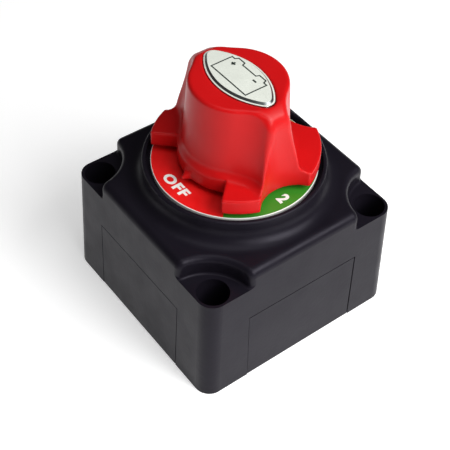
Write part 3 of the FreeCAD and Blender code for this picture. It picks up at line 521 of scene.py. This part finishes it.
def make_dial():
    """Printed disc: a red quarter at OFF, green for the rest, and a pale line round the edge."""
    profile = [(DIAL_HOLE, DIAL_FLOOR), (DIAL_HOLE, DIAL_TOP), (DIAL_RADIUS - BORDER_WIDTH, DIAL_TOP),
               (DIAL_RADIUS - 0.12, DIAL_TOP), (DIAL_RADIUS, DIAL_TOP - 0.12), (DIAL_RADIUS, DIAL_FLOOR)]
    verts = []
    for r, z in profile:
        for n in range(DIAL_STEPS):
            a = 2 * math.pi * n / DIAL_STEPS
            verts.append((r * math.cos(a), r * math.sin(a), z))
    faces = []
    inks = []
    for ring in range(len(profile)):
        after = (ring + 1) % len(profile)
        for n in range(DIAL_STEPS):
            m = (n + 1) % DIAL_STEPS
            faces.append((ring * DIAL_STEPS + n, after * DIAL_STEPS + n,
                          after * DIAL_STEPS + m, ring * DIAL_STEPS + m))
            red = RED_START < (n + 0.5) * 360 / DIAL_STEPS < RED_END
            inks.append(2 if ring in (2, 3, 4) else (0 if red else 1))
    dial = add_mesh("dial_face", verts, faces, "base", smooth=False)
    for material in (DIAL_RED, DIAL_GREEN, DIAL_WHITE):
        dial.data.materials.append(material)
    dial.data.polygons.foreach_set("material_index", inks)
    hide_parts("dial_plate")


def make_mark(name, text, across, along, width, height):
    """A plain word or number of the dial as raised ink, fitted to a box round its centre."""
    curve = bpy.data.curves.new(name, "FONT")
    curve.body = text
    curve.offset = 0.045
    curve.space_character = 1.16
    curve.extrude = 0.01
    letters = bpy.data.objects.new(name + "_curve", curve)
    bpy.context.scene.collection.objects.link(letters)
    bpy.context.view_layer.update()
    mesh = bpy.data.meshes.new_from_object(letters)
    bpy.data.objects.remove(letters)
    points = np.array([v.co[:] for v in mesh.vertices])
    low, high = points.min(axis=0), points.max(axis=0)
    middle = (low + high) / 2
    points -= middle
    points *= np.array([width, height, 0.06]) / (high - low)
    points += np.array([across, along, DIAL_TOP + 0.02])
    faces = [tuple(p.vertices) for p in mesh.polygons]
    bpy.data.meshes.remove(mesh)
    add_mesh(name, points, faces, "base", material=DIAL_WHITE, smooth=False)


MARKS = (("mark_off", "OFF", -0.45, -19.9, 9.9, 3.3), ("mark_two", "2", 20.6, 1.0, 2.3, 3.8),
         ("mark_one", "1", -20.6, 1.0, 1.5, 3.8), ("mark_both", "1+2", 0.0, 20.7, 7.4, 3.4))


# ---------------------------------------------------------------- terminal hardware
STUD_ANGLES = {"terminal_stud_1": 150, "terminal_stud_2": 30, "terminal_stud_common": 270}
STUD_CIRCLE = 18.0
STUD_RADIUS, THREAD_DEPTH, THREAD_PITCH = 5.0, 0.85, 1.5
STUD_HEAD_HALF, STUD_HEAD_HEIGHT, STUD_SPIGOT = 6.5, 2.8, 4.0
STUD_STEPS, NUT_STEPS, WASHER_STEPS, RINGS_PER_TURN = 64, 96, 72, 8
NUT_HALF, NUT_BORE, NUT_LEAD = 8.0, 4.7, 0.6
NUT_CHAMFER = 0.35
FLAT_WASHER_RADIUS, LOCK_WASHER_RADIUS, WASHER_ROUND = 10.0, 8.8, 0.3
SPLIT_STEPS, SPLIT_START, SPLIT_END, SPLIT_SLANT = 70, 3, 354, 0.12
PLATE_SCREW_OFFSET, PLATE_SCREW_RADIUS = 20.0, 1.5
PLATE_HEAD_RADIUS, PLATE_HEAD_HEIGHT, PLATE_HEAD_DOME = 2.8, 1.8, 5.5
CROSS_HALF_WIDTH, CROSS_REACH, CROSS_DEPTH = 0.38, 1.5, 1.25
PLATE_SCREW_PITCH, PLATE_THREAD_DEPTH = 1.05, 0.3
SCREW_STEP = 0.16


def levels(node):
    low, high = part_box(node)
    return low.z / MM, high.z / MM


def thread(turns):
    """Depth below the crest of a pointed thread, after that many turns."""
    share = np.abs(2 * (turns - np.floor(turns)) - 1)
    return np.clip(1.25 * share - 0.1, 0, 1)


def turned_solid(rings, steps):
    """Closed solid from (radius, height) rings listed upwards; a radius may depend on the angle."""
    verts, faces = [], [tuple(reversed(range(steps)))]
    for radius, z in rings:
        for n in range(steps):
            a = 2 * math.pi * n / steps
            r = radius(a) if callable(radius) else radius
            verts.append((r * math.cos(a), r * math.sin(a), z))
    for row in range(len(rings) - 1):
        for n in range(steps):
            m = (n + 1) % steps
            low, high = row * steps, (row + 1) * steps
            faces.append((low + n, low + m, high + m, high + n))
    faces.append(tuple(range((len(rings) - 1) * steps, len(rings) * steps)))
    return verts, faces


def turned_ring(loop_at, steps, start=0.0, end=360.0, slant=0.0):
    """Ring swept round Z from a loop of (radius, height); a part turn gets its two ends closed."""
    whole = end - start >= 360
    columns = steps if whole else steps + 1
    verts, faces = [], []
    for n in range(columns):
        a = math.radians(start + (end - start) * n / steps)
        loop = loop_at(a)
        for r, z in loop:
            verts.append((r * math.cos(a + slant * z), r * math.sin(a + slant * z), z))
    size = len(loop)
    for n in range(steps):
        here, there = n * size, (n + 1) % columns * size
        for j in range(size):
            k = (j + 1) % size
            faces.append((here + j, there + j, there + k, here + k))
    if not whole:
        faces.append(tuple(range(size)))
        faces.append(tuple(reversed(range(steps * size, (steps + 1) * size))))
    return verts, faces


def repeated(verts, faces, places):
    """Copies of one shape at (angle, x, y) places, as one list of points and faces."""
    all_verts, all_faces = [], []
    for angle, across, along in places:
        c, s = math.cos(math.radians(angle)), math.sin(math.radians(angle))
        first = len(all_verts)
        all_verts += [(x * c - y * s + across, x * s + y * c + along, z) for x, y, z in verts]
        all_faces += [tuple(first + n for n in face) for face in faces]
    return all_verts, all_faces


def stud_place(angle):
    a = math.radians(angle)
    return angle, STUD_CIRCLE * math.cos(a), STUD_CIRCLE * math.sin(a)


def stud_shape(node):
    """Threaded shank with a chamfered end, a square head and a spigot above it."""
    foot, top = levels(node)
    head_top = levels("back_plate")[1]
    head = head_top - STUD_HEAD_HEIGHT

    def shank(z):
        limit = STUD_RADIUS - THREAD_DEPTH + (z - foot)

        def radius(a):
            cut = float(thread(z / THREAD_PITCH - a / math.tau))
            return min(limit, STUD_RADIUS - THREAD_DEPTH * cut)

        return radius

    def square(half):
        return lambda a: half / max(abs(math.cos(a)), abs(math.sin(a)))

    rings = [(shank(z), z) for z in np.arange(foot, head, THREAD_PITCH / RINGS_PER_TURN)]
    rings += [(square(STUD_HEAD_HALF - 0.3), head), (square(STUD_HEAD_HALF), head + 0.3),
              (square(STUD_HEAD_HALF), head_top - 0.2), (square(STUD_HEAD_HALF - 0.2), head_top),
              (STUD_SPIGOT, head_top), (STUD_SPIGOT, top - 0.15), (STUD_SPIGOT - 0.15, top)]
    return turned_solid(rings, STUD_STEPS)


def nut_shape(node):
    """Hexagon nut with its corners chamfered and a lead into its thread."""
    foot, top = levels(node)
    depths = (0.0, 0.2, 0.4, 0.65, 0.95)

    def loop(a):
        corner = NUT_HALF / math.cos(a % (math.pi / 3) - math.pi / 6)
        edge = [(min(corner, NUT_HALF - NUT_CHAMFER + math.sqrt(3) * d), d) for d in depths]
        points = [(NUT_BORE, foot + NUT_LEAD), (NUT_BORE + NUT_LEAD, foot)]
        points += [(r, foot + d) for r, d in edge]
        points += [(r, top - d) for r, d in reversed(edge)]
        return points + [(NUT_BORE + NUT_LEAD, top), (NUT_BORE, top - NUT_LEAD)]

    return turned_ring(loop, NUT_STEPS)


def washer_shape(node, radius, split=False):
    foot, top = levels(node)
    bore, edge, nick = STUD_RADIUS + 0.25, WASHER_ROUND, 0.09
    loop = [(bore, foot), (radius - edge, foot), (radius - nick, foot + nick), (radius, foot + edge),
            (radius, top - edge), (radius - nick, top - nick), (radius - edge, top), (bore, top)]
    if split:
        return turned_ring(lambda a: loop, SPLIT_STEPS, SPLIT_START, SPLIT_END, SPLIT_SLANT)
    return turned_ring(lambda a: loop, WASHER_STEPS)


def plate_screw_field(x, y, z):
    """Pan-head screw, head down, with a cross recess."""
    foot = levels("back_plate_screws")[0]
    r = np.hypot(x, y)
    shoulder = foot + PLATE_HEAD_HEIGHT
    dome = np.sqrt(x * x + y * y + (z - foot - PLATE_HEAD_DOME) ** 2) - PLATE_HEAD_DOME
    head = keep_both(keep_both(r - PLATE_HEAD_RADIUS, dome, 0.25), z - shoulder, 0.1)
    cross = np.minimum(np.maximum(np.abs(x) - CROSS_HALF_WIDTH, np.abs(y) - CROSS_REACH),
                       np.maximum(np.abs(y) - CROSS_HALF_WIDTH, np.abs(x) - CROSS_REACH))
    head = take_away(head, np.maximum(cross, z - foot - CROSS_DEPTH), 0.08)
    turns = z / PLATE_SCREW_PITCH - np.arctan2(y, x) / math.tau
    shank = np.maximum(r - PLATE_SCREW_RADIUS + PLATE_THREAD_DEPTH * thread(turns), foot + 1 - z)
    shank = np.maximum(shank, z - levels("back_plate_screws")[1])
    return np.minimum(head, shank)


def add_hardware(name, shape, node, material, places):
    verts, faces = repeated(*shape, places)
    piece = add_mesh(name, verts, faces, "base", material=material, sharp=HARDWARE_SHARP)
    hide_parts(node)


def make_hardware():
    """Studs, nuts, washers and plate screws, each in place of its plain CAD node."""
    places = [stud_place(angle) for angle in STUD_ANGLES.values()]
    for node, angle in STUD_ANGLES.items():
        add_hardware(node + "_threaded", stud_shape(node), node, TINNED,
                     [stud_place(angle)])
    for node in ("jam_nuts", "terminal_nuts"):
        add_hardware(node + "_chamfered", nut_shape(node), node, ZINC, places)
    add_hardware("flat_washers_rounded", washer_shape("flat_washers", FLAT_WASHER_RADIUS),
                 "flat_washers", ZINC, places)
    add_hardware("lock_washers_split", washer_shape("lock_washers", LOCK_WASHER_RADIUS, split=True),
                 "lock_washers", ZINC, places)
    low, high = levels("back_plate_screws")
    reach = PLATE_HEAD_RADIUS + 0.4
    points, quads = surface_net(plate_screw_field, (-reach, -reach, low - 0.5),
                                (reach, reach, high + 0.5), SCREW_STEP)
    corners = [(45, x * PLATE_SCREW_OFFSET, y * PLATE_SCREW_OFFSET)
               for x in (1, -1) for y in (1, -1)]
    add_hardware("back_plate_screws_cross", (points.tolist(), quads.tolist()), "back_plate_screws",
                 STEEL, corners)


make_knob()
make_badge()
make_battery_sign()
make_dial()
for mark in MARKS:
    make_mark(*mark)
make_hardware()


# ---------------------------------------------------------------- camera, floor and light
def aim(azimuth, elevation, distance, target):
    """Place in metres and axes of a thing that looks at a target from that side."""
    az, el = math.radians(azimuth), math.radians(elevation)
    back = Vector((math.sin(az) * math.cos(el), -math.cos(az) * math.cos(el), math.sin(el)))
    right = Vector((0, 0, 1)).cross(back).normalized()
    up = back.cross(right)
    return Vector(target) * MM + back * distance * MM, right, up, back


def frame_of(place, right, up, back):
    matrix = Matrix((right, up, back)).transposed().to_4x4()
    matrix.translation = place
    return matrix


CAMERA_AZIMUTH, CAMERA_ELEVATION, CAMERA_DISTANCE = 51.32, 46.74, 323.7
CAMERA_TARGET = (-6.04, 2.36, 14.95)
CAMERA_ROLL, CAMERA_LENS = 2.433, 83.19


def make_camera():
    place, right, up, back = aim(CAMERA_AZIMUTH, CAMERA_ELEVATION, CAMERA_DISTANCE, CAMERA_TARGET)
    roll = math.radians(CAMERA_ROLL)
    level = right * math.cos(roll) + up * math.sin(roll)
    upright = up * math.cos(roll) - right * math.sin(roll)
    data = bpy.data.cameras.new("camera")
    data.lens = CAMERA_LENS
    data.sensor_width = 36.0
    data.clip_start = 0.01
    camera = bpy.data.objects.new("camera", data)
    camera.matrix_world = frame_of(place, level, upright, back)
    bpy.context.scene.collection.objects.link(camera)
    bpy.context.scene.camera = camera


def make_softbox(name, azimuth, elevation, distance, width, height, power, target=(0, 0, 40)):
    data = bpy.data.lights.new(name, "AREA")
    data.shape = "RECTANGLE"
    data.size = width * MM
    data.size_y = height * MM
    data.energy = power
    light = bpy.data.objects.new(name, data)
    light.matrix_world = frame_of(*aim(azimuth, elevation, distance, target))
    bpy.context.scene.collection.objects.link(light)


FLOOR_GLOW = 0.40


def make_floor():
    mesh = bpy.data.meshes.new("floor")
    half = 12.0
    mesh.from_pydata([(-half, -half, 0), (half, -half, 0), (half, half, 0), (-half, half, 0)], [],
                     [(0, 1, 2, 3)])
    material, tree, shader = new_material("pale_floor")
    tree.links.new(tint(tree, object_noise(tree, 8.0), (0.86, 0.86, 0.86), (0.89, 0.89, 0.89)),
                   shader.inputs["Base Color"])
    shader.inputs["Roughness"].default_value = 0.8
    shader.inputs["Emission Color"].default_value = (1, 1, 1, 1)
    shader.inputs["Emission Strength"].default_value = FLOOR_GLOW
    mesh.materials.append(material)
    floor = bpy.data.objects.new("floor", mesh)
    bpy.context.scene.collection.objects.link(floor)


def make_world():
    world = bpy.data.worlds.new("studio")
    world.use_nodes = True
    sky = world.node_tree.nodes["Background"]
    sky.inputs["Color"].default_value = (1, 1, 1, 1)
    sky.inputs["Strength"].default_value = 0.07
    bpy.context.scene.world = world


bpy.context.scene.view_settings.view_transform = "Standard"
make_camera()
make_floor()
make_world()
make_softbox("key", 118, 44, 700, 450, 400, 4.2)
make_softbox("top", 51, 86, 700, 450, 450, 1.3)
make_softbox("right_floor", 90, 80, 250, 250, 350, 1.2, target=(330, 0, 0))
